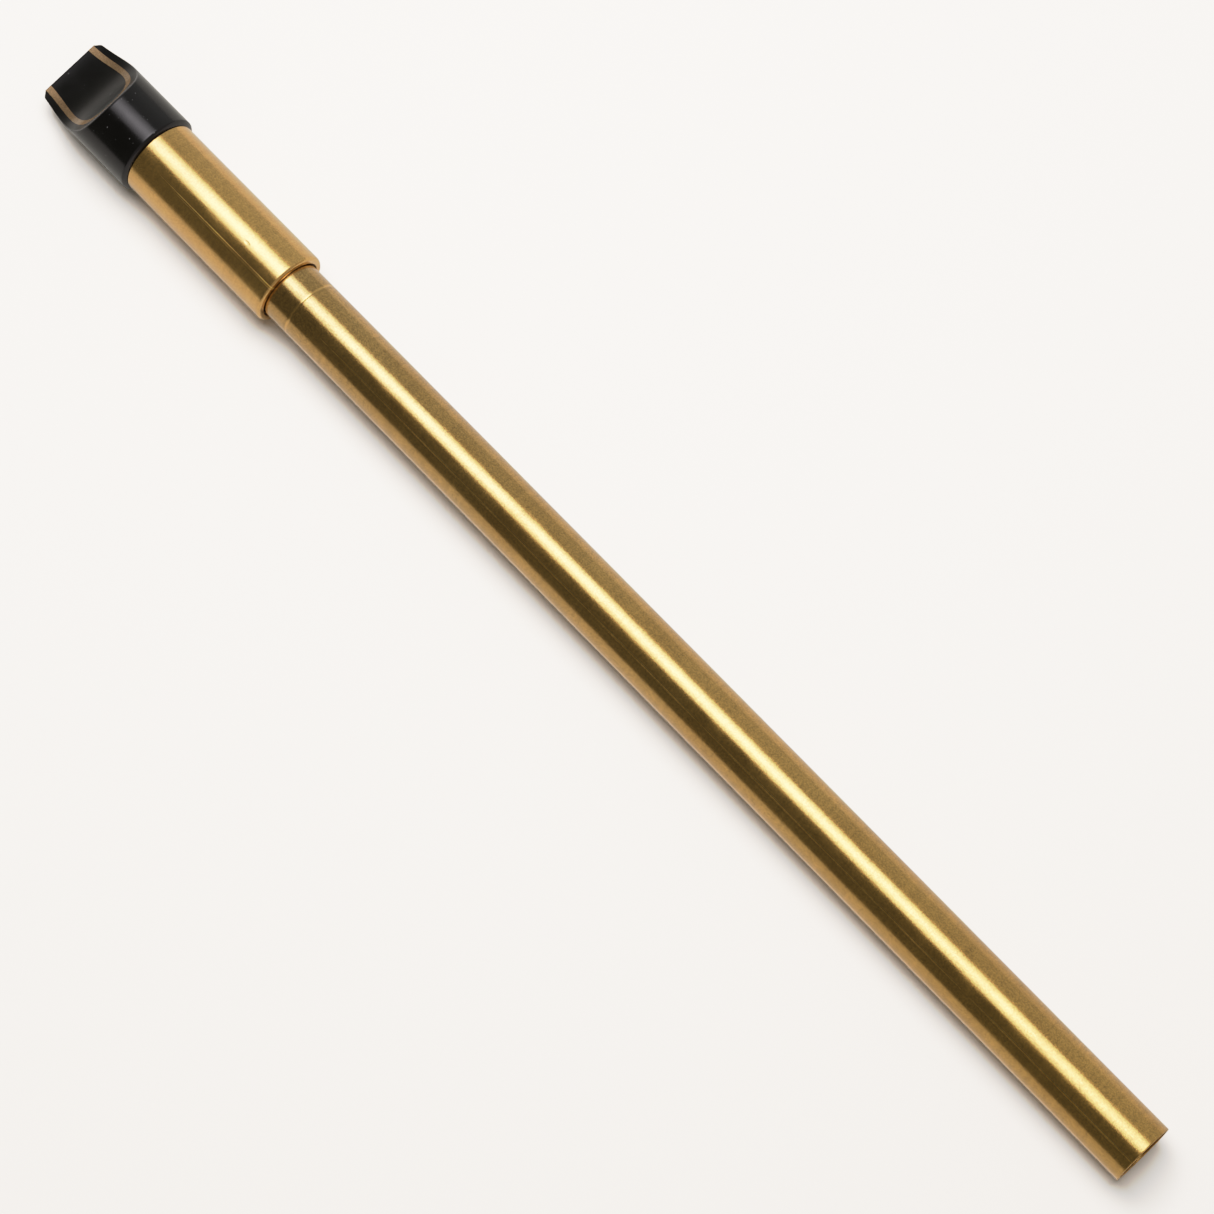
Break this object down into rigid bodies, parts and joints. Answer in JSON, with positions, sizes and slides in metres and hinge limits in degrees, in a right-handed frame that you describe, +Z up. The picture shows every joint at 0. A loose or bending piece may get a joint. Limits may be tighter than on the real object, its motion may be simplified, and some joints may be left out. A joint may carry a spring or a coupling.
{
  "type": "tin whistle",
  "caption": "Tunable brass tin whistle in high D: plain straight body tube sliding in a thicker brass head with a black beaked mouthpiece.",
  "frame": {"origin": "on the surface the whistle lies on, under the middle of its length and width", "axes": "+X along the tubes from the mouth end to the foot, +Z up, the way the cut of the beak faces; the window and the finger holes face -Z"},
  "size_m": [0.3, 0.0182, 0.0181],
  "materials": {
    "body_brass": "satin, lightly brushed lacquered brass",
    "head_brass": "satin brass with fine turning marks",
    "liner_brass": "plain drawn brass",
    "black_plastic": "satin black acetal with fine turning marks"
  },
  "bodies": {
    "head": {"tuning_barrel": "head_brass", "head_tube": "head_brass", "mouthpiece_sleeve": "black_plastic", "fipple_plug": "black_plastic"},
    "liner": {"socket_liner": "liner_brass"},
    "body": {"body_tube": "body_brass"}
  },
  "joints": [
    {"name": "head_turn", "type": "hinge", "parent": "head", "child": "liner", "pos_m": [-0.0814, 0, 0.00905], "axis": [1, 0, 0], "continuous": true},
    {"name": "tuning_slide", "type": "slide", "parent": "liner", "child": "body", "axis": [1, 0, 0], "range_m": [-0.0056, 0.012]}
  ]
}
